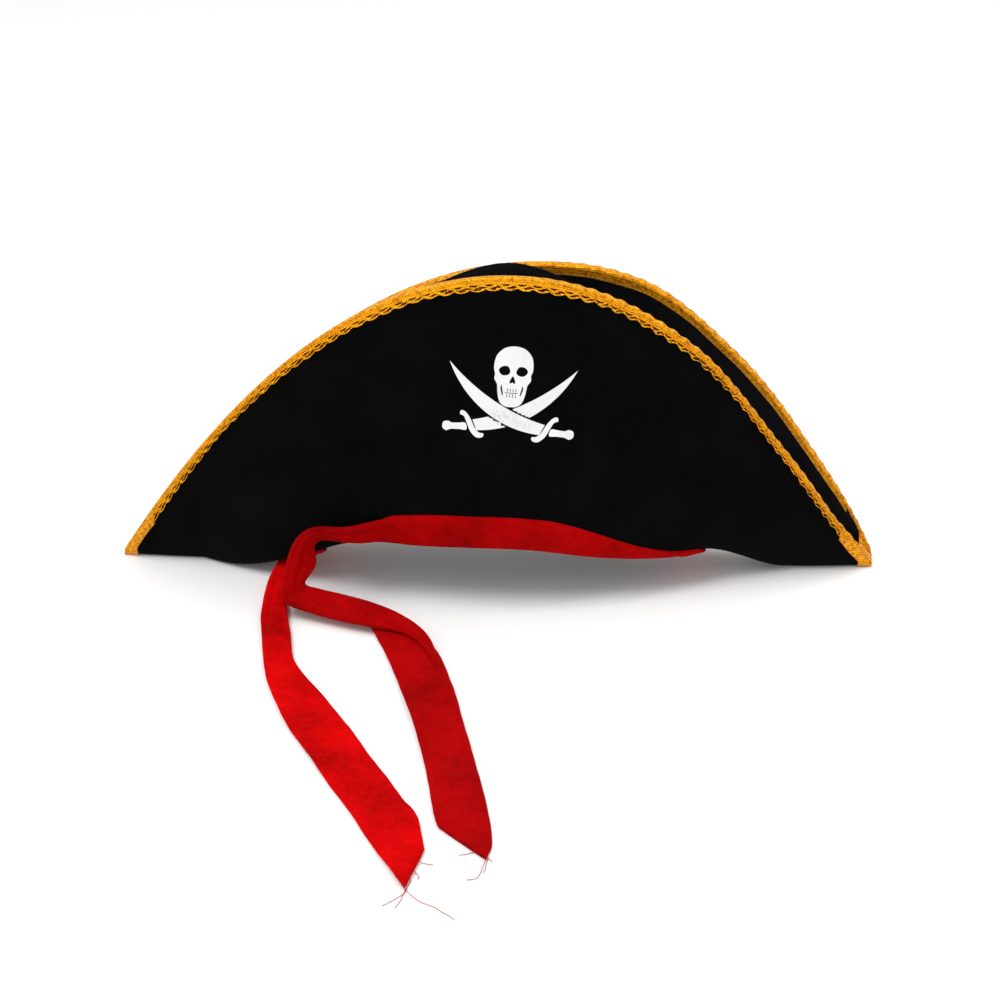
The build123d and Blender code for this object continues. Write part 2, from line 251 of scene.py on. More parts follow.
# Headband, mm.
BAND_LEFT, BAND_RIGHT, BAND_BACK_LEFT = -97.0, 137.0, -108.0
BAND_HEIGHT, BAND_KNOT_HEIGHT, BAND_GAP, FLEECE = 21.0, 15.0, 0.6, 1.6
BAND_GATHER, BAND_NARROWING, BAND_END_SHARE = 70, 105, 0.08
BAND_TUCK, BAND_TUCK_LENGTH = {FRONT: 0.4, BACK: 0.0}, 34    # drawn together under the knot
BAND_CUT_WIDTH, BAND_CUT_EXTRA = 23, 6      # flat width, and flat length past the visible one
LEFT_PASS, RIGHT_PASS, PASS_OVERHANG = (-130.0, -110.0), (121.0, 141.0), 1.5
RIBBON_STEP, RIBBON_ACROSS = 1.1, 34
TABLE_CLEARANCE, LEAST_CLOTH = 0.15, 0.05
THREAD_RADIUS, THREAD_REST, THREAD_LIFT, THREAD_STEPS, THREAD_WANDER = 0.2, 0.3, 1.1, 24, 0.16

# Print on the front, mm and degrees.
PRINT_CENTRE = (12.0, 145.5)
PRINT_TILT = -4.5
PRINT_FILM, PRINT_SINK = 0.25, 0.05
PRINT_GAP = 0.9                 # bare felt between the two sabres
PRINT_EXTENT = ((-45, 45), (-30, 32))
PRINT_SLICE = 2.5               # spacing of the cuts that let the film bend


# Meshes.

def place(points):
    """Millimetres above the table to metres in the frame."""
    points = np.asarray(points, dtype=float) * MM
    points[..., 2] += TABLE
    return points


def add_object(name, mesh, slot, body="hat"):
    obj = bpy.data.objects.new(name, mesh)
    bpy.context.scene.collection.objects.link(obj)
    if body:
        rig.ride(obj, body)
    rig.slot(obj, slot)
    return obj


def add_mesh(name, points, faces, material, slot, uv=None, body="hat"):
    mesh = bpy.data.meshes.new(name)
    mesh.from_pydata(place(points).reshape(-1, 3).tolist(), [], faces)
    if uv is not None:
        layer = mesh.uv_layers.new(name="along")
        index = np.empty(len(mesh.loops), dtype=int)
        mesh.loops.foreach_get("vertex_index", index)
        layer.data.foreach_set("uv", np.asarray(uv, dtype=float)[index].ravel())
    mesh.polygons.foreach_set("use_smooth", [True] * len(mesh.polygons))
    mesh.materials.append(material)
    return add_object(name, mesh, slot, body)


def grid_faces(rows, cols, start=0, closed=False, flip=False):
    """Quads of a grid of points; closed joins the last column to the first."""
    faces = []
    for i in range(rows - 1):
        for j in range(cols if closed else cols - 1):
            k = (j + 1) % cols
            a, b = start + i * cols + j, start + i * cols + k
            quad = (a, b, b + cols, a + cols)
            faces.append(quad[::-1] if flip else quad)
    return faces


def shell_faces(rows, cols):
    """Faces of a closed sheet whose outer grid comes first and inner grid second."""
    inner = rows * cols
    faces = grid_faces(rows, cols) + grid_faces(rows, cols, inner, flip=True)
    loop = list(range(cols)) + [i * cols + cols - 1 for i in range(1, rows)]
    loop += [(rows - 1) * cols + j for j in range(cols - 2, -1, -1)]
    loop += [i * cols for i in range(rows - 2, 0, -1)]
    for a, b in zip(loop, loop[1:] + loop[:1]):
        faces.append((b, a, a + inner, b + inner))
    return faces


def tube_faces(rows, cols, start=0):
    """Faces of a closed sweep of rings, capped at both ends."""
    last = start + (rows - 1) * cols
    faces = grid_faces(rows, cols, start, closed=True)
    faces.append(tuple(range(start + cols - 1, start - 1, -1)))
    faces.append(tuple(range(last, last + cols)))
    return faces


def add_shell(name, outer, inner, material, slot, uv=None):
    """Closed sheet between two grids of points; uv is in millimetres."""
    if uv is not None:
        uv = np.concatenate([uv.reshape(-1, 2)] * 2) * MM
    points = np.concatenate([outer.reshape(-1, 3), inner.reshape(-1, 3)])
    return add_mesh(name, points, shell_faces(*outer.shape[:2]), material, slot, uv)


def add_tube(name, rings, material, slot, uv=None):
    """Closed sweep: rings is (stations, points round, 3), and uv is in millimetres."""
    if uv is not None:
        uv = uv.reshape(-1, 2) * MM
    return add_mesh(name, rings.reshape(-1, 3), tube_faces(*rings.shape[:2]), material, slot, uv)


def circle(sides):
    """Unit circle as a column of cosines and a column of sines."""
    angles = np.arange(sides)[:, None] * math.tau / sides
    return np.cos(angles), np.sin(angles)


def normalise(v):
    return v / np.maximum(np.linalg.norm(v, axis=-1, keepdims=True), 1e-9)


def mix(a, b, t):
    return a * (1 - t) + b * t


def smooth(t):
    """Ramp from 0 to 1 with level ends."""
    t = np.clip(t, 0, 1)
    return t * t * (3 - 2 * t)


def catmull_rom(a, b, c, d, t):
    """Smooth curve from b, where t is 0, to c, where t is 1."""
    return 0.5 * (2 * b + (c - a) * t + (2 * a - 5 * b + 4 * c - d) * t ** 2
                  + (3 * b - a - 3 * c + d) * t ** 3)


# Materials.

class Shader:
    """A material with short calls for its nodes."""

    def __init__(self, name, **sockets):
        self.material = bpy.data.materials.new(name)
        self.material.use_nodes = True
        self.tree = self.material.node_tree
        self.bsdf = self.tree.nodes["Principled BSDF"]
        for socket, value in sockets.items():
            self.bsdf.inputs[socket.replace("_", " ")].default_value = value

    def node(self, kind, links=None, **settings):
        made = self.tree.nodes.new(kind)
        for key, value in settings.items():
            if key in made.inputs:
                made.inputs[key].default_value = value
            else:
                setattr(made, key, value)
        for socket, source in (links or {}).items():
            self.tree.links.new(source, made.inputs[socket])
        return made

    def coordinates(self, uv=False):
        return self.node("ShaderNodeTexCoord").outputs["UV" if uv else "Object"]

    def stretched(self, *scale):
        """Distances along a tape and across it, stretched by scale on each axis."""
        made = self.node("ShaderNodeMapping", {"Vector": self.coordinates(uv=True)}, Scale=scale)
        return made.outputs["Vector"]

    def noise(self, scale, detail=4.0, rough=0.6):
        made = self.node("ShaderNodeTexNoise", {"Vector": self.coordinates()}, Scale=scale,
                         Detail=detail, Roughness=rough)
        return made.outputs["Fac"]

    def ramp(self, value, stops):
        made = self.node("ShaderNodeValToRGB", {"Fac": value})
        elements = made.color_ramp.elements
        while len(elements) < len(stops):
            elements.new(0.5)
        for element, (position, colour) in zip(elements, stops):
            element.position = position
            element.color = (*colour, 1)
        return made.outputs["Color"]

    def math(self, operation, a, b):
        made = self.node("ShaderNodeMath", operation=operation)
        for i, value in enumerate((a, b)):
            if isinstance(value, (int, float)):
                made.inputs[i].default_value = value
            else:
                self.tree.links.new(value, made.inputs[i])
        return made.outputs[0]

    def weighted(self, *parts):
        """Sum of (value socket, weight) parts."""
        total = None
        for value, weight in parts:
            term = self.math("MULTIPLY", value, weight)
            total = term if total is None else self.math("ADD", total, term)
        return total

    def waves(self, vector, direction, scale, distortion, detail):
        made = self.node("ShaderNodeTexWave", {"Vector": vector}, Scale=scale,
                         Distortion=distortion, Detail=detail, bands_direction=direction)
        return made.outputs["Fac"]

    def bump(self, heights):
        """heights is a list of (value socket, strength, distance in metres)."""
        normal = None
        for value, strength, distance in heights:
            links = {"Height": value}
            if normal is not None:
                links["Normal"] = normal
            made = self.node("ShaderNodeBump", links, Strength=strength, Distance=distance)
            normal = made.outputs["Normal"]
        self.tree.links.new(normal, self.bsdf.inputs["Normal"])

    def colour(self, socket):
        self.tree.links.new(socket, self.bsdf.inputs["Base Color"])

    def roughness(self, socket):
        self.tree.links.new(socket, self.bsdf.inputs["Roughness"])


def felt(name, dark, light, sheen):
    shader = Shader(name, Roughness=0.95, Specular_IOR_Level=0.04, Sheen_Weight=sheen,
                    Sheen_Roughness=0.55, Sheen_Tint=(0.75, 0.78, 0.85, 1))
    fibres = shader.noise(1400, 6, 0.75)
    patches = shader.noise(28, 3)
    lint = shader.noise(420, 5, 0.7)
    mixed = shader.weighted((fibres, 0.6), (patches, 0.4))
    shader.colour(shader.ramp(mixed, [(0.38, dark), (0.64, light)]))
    shader.bump([(patches, 0.25, 0.002), (lint, 0.5, 0.0009), (fibres, 0.7, 0.0006)])
    return shader.material


def fleece(name, painted_light_gain):
    """Brushed fleece; the second argument scales its colour, and above 1 it paints in extra light, a lighter lit copy
    of the same fleece.
    """
    shader = Shader(name, Roughness=0.95, Specular_IOR_Level=0.05, Sheen_Weight=0.12,
                    Sheen_Roughness=0.4, Sheen_Tint=(1.0, 0.03, 0.03, 1))
    pile = shader.noise(1100, 6, 0.7)
    clumps = shader.noise(230, 4, 0.6)
    drift = shader.noise(26, 2)
    mixed = shader.weighted((pile, 0.35), (clumps, 0.25), (drift, 0.4))
    shader.colour(shader.ramp(mixed, [(0.34, (0.17 * painted_light_gain, 0.0, 0.0)),
                                      (0.50, (0.36 * painted_light_gain, 0.0, 0.0005)),
                                      (0.66, (0.50 * painted_light_gain, 0.001, 0.002))]))
    shader.bump([(drift, 0.4, 0.004), (clumps, 0.4, 0.0009), (pile, 0.8, 0.0006)])
    return shader.material


def gold(name, across, along, dark, light, depth, metallic, painted_groove_shade=False):
    """Metallic yarn: across and along are the wave scales of its fine ribs and coarser yarns.

    depth is how far the yarns stand out, in metres. With painted groove shade, the braid's colour is darker where its
    relief is low: shade painted into its grooves.
    """
    shader = Shader(name, Metallic=metallic, Roughness=0.34, Specular_IOR_Level=0.2,
                    Anisotropic=0.3)
    ribs = shader.waves(shader.stretched(1, 0.7, 1), "DIAGONAL", across, 1.4, 2.0)
    yarns = shader.waves(shader.stretched(0.25, 1, 1), "Y", along, 0.8, 1.0)
    wear = shader.noise(480, 4, 0.7)
    fine = shader.noise(1600, 4)
    mixed = shader.weighted((ribs, 0.15), (yarns, 0.1), (wear, 1.0))
    middle = tuple(mix(np.array(dark), np.array(light), 0.6))
    if painted_groove_shade:
        # Painted shade: the colour is pushed towards the dark stop where the relief is low, in the grooves between the
        # cords.
        relief = shader.node("ShaderNodeAttribute", attribute_name="relief").outputs["Fac"]
        groove_shade = shader.math("MULTIPLY", shader.math("SUBTRACT", relief, 0.85), 0.33)
        mixed = shader.math("ADD", mixed, groove_shade)
    shader.colour(shader.ramp(mixed, [(0.53, dark), (0.61, middle), (0.69, light)]))
    shader.roughness(shader.ramp(fine, [(0.3, (0.25,) * 3), (0.7, (0.5,) * 3)]))
    shader.bump([(yarns, 0.5, depth), (ribs, 0.6, depth * 0.7), (fine, 0.3, 0.0002)])
    return shader.material


def print_film():
    shader = Shader("print_film", Roughness=0.55, Specular_IOR_Level=0.35)
    grain = shader.noise(900, 5, 0.7)
    wear = shader.noise(55, 5, 0.75)
    mixed = shader.weighted((grain, 0.35), (wear, 0.65))
    shader.colour(shader.ramp(mixed, [(0.30, (0.42, 0.42, 0.43)), (0.42, (0.82, 0.82, 0.83)),
                                      (0.7, (0.92, 0.92, 0.92))]))
    shader.bump([(grain, 0.5, 0.0003)])
    return shader.material


def woven(name, dark, light, scale):
    shader = Shader(name, Roughness=0.85, Specular_IOR_Level=0.25, Sheen_Weight=0.15)
    warp = shader.waves(shader.coordinates(), "X", scale, 0.6, 2.0)
    weft = shader.waves(shader.coordinates(), "Z", scale, 0.6, 2.0)
    mixed = shader.weighted((warp, 0.5), (weft, 0.5))
    shader.colour(shader.ramp(mixed, [(0.2, dark), (0.8, light)]))
    shader.bump([(mixed, 0.6, 0.0003)])
    return shader.material


BLACK_FELT = felt("black_felt", (0.0005, 0.0005, 0.0006), (0.0026, 0.0026, 0.003), 0.012)
LINING_FELT = felt("lining_felt", (0.0022, 0.0024, 0.003), (0.009, 0.0095, 0.0115), 0.06)
RED_FLEECE = fleece("red_fleece", 1.0)
# Painted light: the same red fleece with its colour lightened 1.55 times, standing in for the light that falls on the
# left tail.
PAINTED_LIGHT_FLEECE = fleece("red_fleece_raised_nap", 1.55)
# The braid's colour carries painted shade in its grooves.
BRAID = gold("gold_braid", 330, 260, (0.12, 0.022, 0.0005), (1.0, 0.45, 0.008), 0.0005, 0.7, True)
TAPE = gold("gold_tape", 420, 330, (0.42, 0.10, 0.001), (1.0, 0.44, 0.006), 0.00025, 0.4)
PRINT = print_film()
INTERLINING = woven("interlining", (0.10, 0.10, 0.09), (0.26, 0.25, 0.23), 420)
SWEATBAND = woven("sweatband_cloth", (0.008, 0.008, 0.009), (0.022, 0.022, 0.024), 500)
RED_THREAD = woven("red_thread", (0.35, 0.001, 0.002), (0.7, 0.01, 0.012), 2200)
GOLD_THREAD = woven("gold_thread", (0.45, 0.22, 0.03), (0.95, 0.6, 0.14), 2200)


# The hat's surfaces.

def fold_y(x):
    return FOLD_BACKSET + FOLD_SKEW * x


def low_z(x):
    """Height of the brims' lower edge: arched over the head, down to the table in the wings."""
    start, length = LEFT_DESCENT
    left = CROWN_BASE * (1 - smooth((-x - start) / length))
    slope_length, fall = RIGHT_SLOPE
    start, length = RIGHT_DESCENT
    gentle = fall * smooth(x / slope_length)
    right = CROWN_BASE - gentle - (CROWN_BASE - fall) * smooth((x - start) / length)
    return np.where(x < 0, left, right)


def low_y(side, x):
    """Depth of a brim's lower edge."""
    reach = np.minimum(np.abs(x) / FOLD_REACH, 1.0)
    half = FOLD_HALF_WIDTH * (1 - (x / FOLD_END_X) ** 4)
    return fold_y(x) + side * (RIM_SPREAD[side] * np.cos(math.pi / 2 * reach) + half)


def seam_y(side, x):
    """Depth of the felt's inner edge: a narrow turn at the opening, a closed seam in the wings."""
    near, far = OPENING_END
    turned_in = low_y(side, x) - side * RIM_TURN_IN
    closed = fold_y(x) + side * SEAM_GAP
    return mix(turned_in, closed, smooth((np.abs(x) - near) / (far - near)))


def top_z(side, x):
    apex, height, left, left_power, right, right_power = ARCH[side]
    t = np.where(x < apex, (apex - x) / left, (x - apex) / right)
    power = np.where(x < apex, left_power, right_power)
    depth, start, ramp, end, fade = SLACK[side]
    slack = depth * smooth((x - start) / ramp) * smooth((end - x) / fade)
    return height * (1 - np.abs(t) ** power) - slack


def top_y(side, x):
    spread = (1 - (x / CURVE_END_X) ** 2) ** EDGE_SPREAD_POWER
    return fold_y(x) + side * EDGE_SPREAD[side] * spread


def bulge(x):
    """Outward swell of a brim between its two edges."""
    start, length = BULGE_GROWTH
    wing = smooth((np.abs(x) - start) / length)
    return mix(BULGE_MIDDLE, BULGE_WING, wing) * (1 - (x / CURVE_END_X) ** 6)


def ripple(side, x, w):
    """Gentle unevenness of hand-folded felt, strongest out in the wings."""
    start, growth = RIPPLE_GROWTH
    end, fade = RIPPLE_FADE
    wing = smooth((np.abs(x) - start) / growth) * smooth((end - np.abs(x)) / fade)
    height = sum(size * np.sin(x / length + slant * w + phase * side)
                 for length, slant, phase, size in RIPPLES)
    return height * mix(RIPPLE_MIDDLE, 1, wing) * smooth(w * 3)


def face_point(side, x, w):
    """Outer face of a brim: w is -1 at its inner edge, 0 at the lower edge, 1 at the top edge."""
    t = np.maximum(w, 0) ** 2
    swell = bulge(x) * np.sin(math.pi * np.maximum(w, 0)) + ripple(side, x, w)
    y = mix(low_y(side, x), top_y(side, x), t) + side * swell
    y = np.where(w < 0, mix(low_y(side, x), seam_y(side, x), -w), y)
    z = mix(low_z(x), top_z(side, x), t)
    return np.stack([x + 0 * w, y, z], axis=-1)


def broadcast(*values):
    return np.broadcast_arrays(*(np.asarray(value, dtype=float) for value in values))


def ply_point(side, x, w, depth):
    """Point at a depth below a brim's outer face."""
    x, w, depth = broadcast(x, w, depth)
    step = 0.01
    across = face_point(side, x + step, w) - face_point(side, x - step, w)
    up = face_point(side, x, w + step) - face_point(side, x, w - step)
    outward = normalise(np.cross(across, up)) * -side
    return face_point(side, x, w) - outward * depth[..., None]


def section_length(side, x):
    """Length of a brim's felt from its lower edge to its top edge."""
    points = face_point(side, x[..., None], np.linspace(0, 1, 25))
    return np.linalg.norm(np.diff(points, axis=-2), axis=-1).sum(axis=-1)


def drop_point(side, x, drop, depth):
    """Point at a distance down from the top edge; a negative drop stands above it."""
    x, drop, depth = broadcast(x, drop, depth)
    share = np.maximum(drop, 0) / section_length(side, x)
    on_face = ply_point(side, x, np.sqrt(np.maximum(1 - share, 0)), depth)
    rise = normalise(face_point(side, x, 1 + 0 * x) - face_point(side, x, 0.97 + 0 * x))
    return on_face + rise * np.maximum(-drop, 0)[..., None]


def edge_stations(side, spacing, reach=TIP_X):
    """Stations evenly spaced along a brim's top edge, with their distances along it."""
    fine = np.linspace(-reach, reach, 4001)
    steps = np.linalg.norm(np.diff(face_point(side, fine, 1 + 0 * fine), axis=0), axis=1)
    length = np.concatenate([[0], np.cumsum(steps)])
    s = np.linspace(0, length[-1], int(length[-1] / spacing) + 1)
    return np.interp(s, length, fine), s


# Brims.

def thinned(x, depth):
    """Depth of a ply, less towards the tips, where the two brims meet."""
    start, length, lost = TIP_THINNING
    return depth * (1 - lost * smooth((np.abs(x) - start) / length))


def flipped_for(side, *grids):
    """Grids with their stations reversed on the back brim, so that its faces point outwards."""
    return [grid[::-1] if side == BACK else grid for grid in grids]


def make_ply(side, name, start, end, lowest, material, slot):
    """Ply between two depths, from the lowest w up; -1 takes in the turn under the wings."""
    x = TIP_X * np.sin(np.linspace(-math.pi / 2, math.pi / 2, BRIM_STATIONS))[:, None]
    w = np.linspace(max(lowest, 0.0), 1, BRIM_RISES)
    if lowest < 0:
        w = np.concatenate([np.linspace(lowest, 0, TURN_RISES)[:-1], w])
    outer = ply_point(side, x, w, thinned(x, start))
    inner = ply_point(side, x, w, thinned(x, end))
    piece = add_shell(name, *flipped_for(side, outer, inner), material, slot)
    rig.replaces(piece, name)
    return piece


def make_brims():
    for side, name in NAMES.items():
        face = make_ply(side, f"{name}_brim_felt", 0, FELT, -1, BLACK_FELT, "black_felt")
        if side == FRONT:
            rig.replaces(face, "left_wing_gusset", "right_wing_gusset")
        stiffener_end = FELT + STIFFENER
        make_ply(side, f"{name}_brim_stiffener", FELT, stiffener_end, STIFFENER_START,
                 INTERLINING, "interlining")
        make_ply(side, f"{name}_brim_lining", stiffener_end, BRIM_DEPTH, LINING_START,
                 LINING_FELT, "black_lining")


# Crown.

def crown_point(angle, s, inset):
    """Soft dome with a ridge along its seam: s runs from 0 at the rim to 1 at the top."""
    share = np.sin(s * math.pi / 2) ** 0.8
    length = CROWN_HALF_LENGTH * np.cos(s * math.pi / 2) ** (0.8 + 0.38 * share)
    width = CROWN_HALF_WIDTH * (1 - CROWN_TAPER * share) * np.sqrt(np.maximum(1 - share ** 6, 0))
    seam = CROWN_SEAM_HEIGHT * np.exp(-(np.sin(angle) * width / CROWN_SEAM_WIDTH) ** 2)
    slack = 1.1 * np.sin(3 * angle + 5 * s) * np.sin(math.pi * s) + 0.7 * np.sin(7 * angle - 3 * s)
    length = np.maximum(length - inset + seam - 0.4 * slack, 0)
    width = np.maximum(width - inset - 0.5 * np.abs(slack), 0)
    x = length * np.cos(angle) + CROWN_LEAN * share ** 2
    y = width * np.sin(angle)
    rim = low_z(CROWN_HALF_LENGTH * np.cos(angle)) + CROWN_LIFT
    z = mix(rim, CROWN_TOP - inset + 0.6 * seam, share)
    return np.stack([x, y, z], axis=-1)


def make_crown_shell(name, angles, s, start, end, material, slot):
    """Part of the dome between two insets, over a run of angles and of s."""
    angle = np.linspace(*angles)[:, None]
    outer, inner = (crown_point(angle, s, inset) for inset in (start, end))
    piece = add_shell(name, outer, inner, material, slot)
    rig.replaces(piece, name)


def make_crown():
    s = np.linspace(0, CROWN_CLOSE, 90)
    for name, start in (("crown_front", math.pi), ("crown_back", 0.0)):
        make_crown_shell(name, (start, start + math.pi, 121), s, 0.0, CROWN_FELT, BLACK_FELT,
                         "black_felt")
    make_crown_shell("sweatband", (0, 2 * math.pi, 181), np.linspace(*SWEATBAND_SPAN, 14),
                     CROWN_FELT + SWEATBAND_GAP, CROWN_FELT + SWEATBAND_DEPTH, SWEATBAND,
                     "black_lining")


# Gold trim.

def cord_ridge(distance, half_width, height):
    return height * np.sqrt(np.maximum(1 - (distance / half_width) ** 2, 0))


def braid_height(s, drop):
    """Relief of the gimp braid: two twisted yarns, a waved cord and a scalloped edge cord."""
    wave = math.tau * s / BRAID_PITCH
    twist = math.tau * s / BRAID_TWIST
    cords = [
        cord_ridge(drop - 0.85, 0.85, 1.1) * (1 + 0.2 * np.sin(twist + 2 * drop)),
        cord_ridge(drop - 2.2, 0.85, 1.15) * (1 + 0.2 * np.sin(twist - 2 * drop + 1)),
        cord_ridge(drop - 4.0 - 0.7 * np.sin(wave), 0.9, 0.95) * (1 + 0.12 * np.sin(twist)),
        cord_ridge(drop - scallop(s) + 0.75, 0.75, 0.95),
    ]
    return 0.2 + np.maximum.reduce(cords)


def puckered(x):
    """How much the trim puckers: it lies flat on the left and ropes up on the right."""
    start, length = PUCKER_GROWTH
    return smooth((x - start) / length)


def scallop(s):
    """Width of the braid, which ends in a row of scallops."""
    uneven = 0.35 * np.sin(s / 23) + 0.25 * np.sin(s / 9.1)
    return BRAID_WIDTH - 0.9 + 1.5 * np.abs(np.sin(math.pi * s / BRAID_PITCH)) + uneven


def add_relief(obj, height):
    """Height of each point of a braid, which its material reads to paint shade into the grooves."""
    layer = obj.data.attributes.new("relief", "FLOAT", "POINT")
    layer.data.foreach_set("value", np.asarray(height, dtype=float).ravel())


def tape_uv(s, drop):
    """Distances along a tape and across it."""
    return np.stack(np.broadcast_arrays(s, drop), axis=-1)


def make_braid(side):
    x, s = (column[:, None] for column in edge_stations(side, 0.5, TIP_X - BRAID_STOP))
    share = np.linspace(0, 1, BRAID_ACROSS)
    drop = BRAID_SINK + share * (scallop(s) - BRAID_SINK)
    rounded = np.minimum(np.minimum(share, 1 - share) * BRAID_ACROSS, 1)
    height = braid_height(s, drop) * rounded
    uv = tape_uv(s, drop)
    start, length, left, right = BRAID_SPREAD
    spread = 1 + np.where(x < 0, left, right) * smooth((np.abs(x) - start) / length)
    pucker = puckered(x) * (0.8 * np.sin(math.tau * s / BRAID_PITCH) - 0.5)
    drop = drop * spread + pucker * share
    outer = drop_point(side, x, drop, -height * (1 + 0.5 * puckered(x)))
    inner = drop_point(side, x, drop, BRAID_SINK)
    outer, inner, uv, height = flipped_for(side, outer, inner, uv, height)
    name = f"{NAMES[side]}_gimp_braid"
    piece = add_shell(name, outer, inner, BRAID, "gold_braid", uv)
    add_relief(piece, np.concatenate([height.ravel(), 0 * height.ravel()]))
    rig.replaces(piece, name)


def make_binding(side):
    """Tape folded over the raw edge, with a rolled lip on top."""
    x, s = (column[:, None] for column in edge_stations(side, TAPE_STEP))
    drop, depth = np.array(BINDING_PROFILE).T
    rope = 1 + puckered(x) * BINDING_ROPE * (1 + np.sin(math.tau * s / BRAID_PITCH + 1))
    rings = drop_point(side, x, drop * rope, thinned(x, depth))
    rings, uv = flipped_for(side, rings, tape_uv(s, np.arange(len(drop)) * BINDING_YARN))
    name = f"{NAMES[side]}_edge_binding"
    piece = add_tube(name, rings, TAPE, "gold_tape", uv)
    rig.replaces(piece, name)


def make_inner_tape(side):
    """Flat tape on the lining under the binding, sewn along its free edge."""
    x, s = (column[:, None] for column in edge_stations(side, TAPE_STEP, TAPE_REACH))
    drop = np.linspace(1.0, TAPE_WIDTH, 9)
    wave = TAPE_SLACK * np.sin(s / 6.5) * (drop / TAPE_WIDTH)
    outer, inner = (drop_point(side, x, drop + wave, thinned(x, BRIM_DEPTH + depth))
                    for depth in TAPE_DEPTHS)
    outer, inner, uv = flipped_for(side, outer, inner, tape_uv(s, drop))
    name = f"{NAMES[side]}_inner_tape"
    piece = add_shell(name, outer, inner, TAPE, "gold_tape", uv)
    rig.replaces(piece, name)


def make_stitches(side):
    """Row of running stitches along the inner tape's free edge."""
    x, _ = edge_stations(side, STITCH_LENGTH, STITCH_REACH)
    cosines, sines = circle(6)
    rings, faces = [], []
    for a, b in zip(x[:-1], x[1:]):
        ends = np.array([a, mix(a, b, STITCH_SHARE)])
        start, end = drop_point(side, ends, TAPE_WIDTH - STITCH_INSET,
                                thinned(ends, BRIM_DEPTH + STITCH_DEPTH))
        run = normalise(end - start)
        one = normalise(np.cross(run, [0.0, 1.0, 0.3]))
        two = np.cross(run, one)
        faces += tube_faces(len(STITCH_SHAPE), len(cosines), len(rings) * len(cosines))
        for t, radius in STITCH_SHAPE:
            rings.append(mix(start, end, t) + radius * (cosines * one + sines * two))
    add_mesh(f"{NAMES[side]}_tape_stitches", np.concatenate(rings), faces, GOLD_THREAD, "gold_tape")


def make_tip_wraps():
    """Plain tape folded round each tip and closed at the point, with a leg along each brim."""
    w = np.linspace(0, 1, 14)
    for direction, name in ((-1, "left_tip_wrap"), (1, "right_tip_wrap")):
        x = direction * np.linspace(TIP_X - WRAP_START, TIP_X + WRAP_OVERHANG, 18)[:, None]
        on_felt = np.clip(x, -TIP_X, TIP_X)
        front = ply_point(FRONT, on_felt, w[::-1], -WRAP_LIFT)
        back = ply_point(BACK, on_felt, w, -WRAP_LIFT)
        rings = np.concatenate([front, back], axis=1)
        rings[..., 0] = x
        centre = rings[-1].mean(axis=0)
        rings[-1] = mix(centre, rings[-1], WRAP_CLOSING)
        rings[..., 2] = np.maximum(rings[..., 2], WRAP_CLEARANCE)
        if direction < 0:
            rings = rings[::-1]
        piece = add_tube(name, rings, TAPE, "gold_tape", rings[..., [0, 2]])
        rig.replaces(piece, name)
        for side in NAMES:
            make_wrap_leg(direction, side, f"{name}_{NAMES[side]}_leg")


def make_wrap_leg(direction, side, name):
    start, end = WRAP_LEG
    x = direction * np.linspace(TIP_X - start, TIP_X - end, 40)[:, None]
    width = np.minimum(WRAP_WIDTH + 0.5 * np.sin(x / 3.1), section_length(side, x[:, 0])[:, None])
    drop = -WRAP_OVERHANG + np.linspace(0, 1, 12) * (width + WRAP_OVERHANG)
    outer, inner = (drop_point(side, x, drop, depth) for depth in WRAP_LEG_DEPTHS)
    uv = tape_uv(x, drop)
    if side * direction > 0:
        outer, inner, uv = outer[::-1], inner[::-1], uv[::-1]
    add_shell(name, outer, inner, TAPE, "gold_tape", uv)


# Printed emblem: a plain skull over two crossed sabres.

def arc(start, middle, end, count=40):
    """Points of the circle arc through three points."""
    (ax, ay), (bx, by), (cx, cy) = start, middle, end
    d = 2 * (ax * (by - cy) + bx * (cy - ay) + cx * (ay - by))
    a2, b2, c2 = ax * ax + ay * ay, bx * bx + by * by, cx * cx + cy * cy
    ux = (a2 * (by - cy) + b2 * (cy - ay) + c2 * (ay - by)) / d
    uy = (a2 * (cx - bx) + b2 * (ax - cx) + c2 * (bx - ax)) / d
    radius = math.hypot(ax - ux, ay - uy)
    first = math.atan2(ay - uy, ax - ux)
    turn = (math.atan2(cy - uy, cx - ux) - first + math.pi) % (2 * math.pi) - math.pi
    angles = first + turn * np.linspace(0, 1, count)
    return np.stack([ux + radius * np.cos(angles), uy + radius * np.sin(angles)], axis=-1)


def smooth_loop(points, count=12):
    """Closed smooth curve through the points."""
    points = np.asarray(points, dtype=float)
    t = np.linspace(0, 1, count, endpoint=False)[:, None]
    corners = zip(*(np.roll(points, shift, 0) for shift in (1, 0, -1, -2)))
    return np.concatenate([catmull_rom(a, b, c, d, t) for a, b, c, d in corners])


def mirrored(points):
    """Mirror image about x = 0, listed backwards so that it turns the same way."""
    return (np.asarray(points, dtype=float) * (-1, 1))[::-1]


def half_and_mirror(half):
    """Symmetric outline from its right half, listed from the top down."""
    half = np.asarray(half, dtype=float)
    return np.concatenate([half, mirrored(half)[1:-1]])


def skull_outline():
    half = [(0, 31), (6.5, 29.5), (11.2, 24.5), (12.4, 17.5), (11.4, 13), (11.6, 10), (9.6, 6.5),
            (8.8, 1), (7.0, -4.5), (3.6, -7), (0, -7.4)]
    return smooth_loop(half_and_mirror(half), 8)


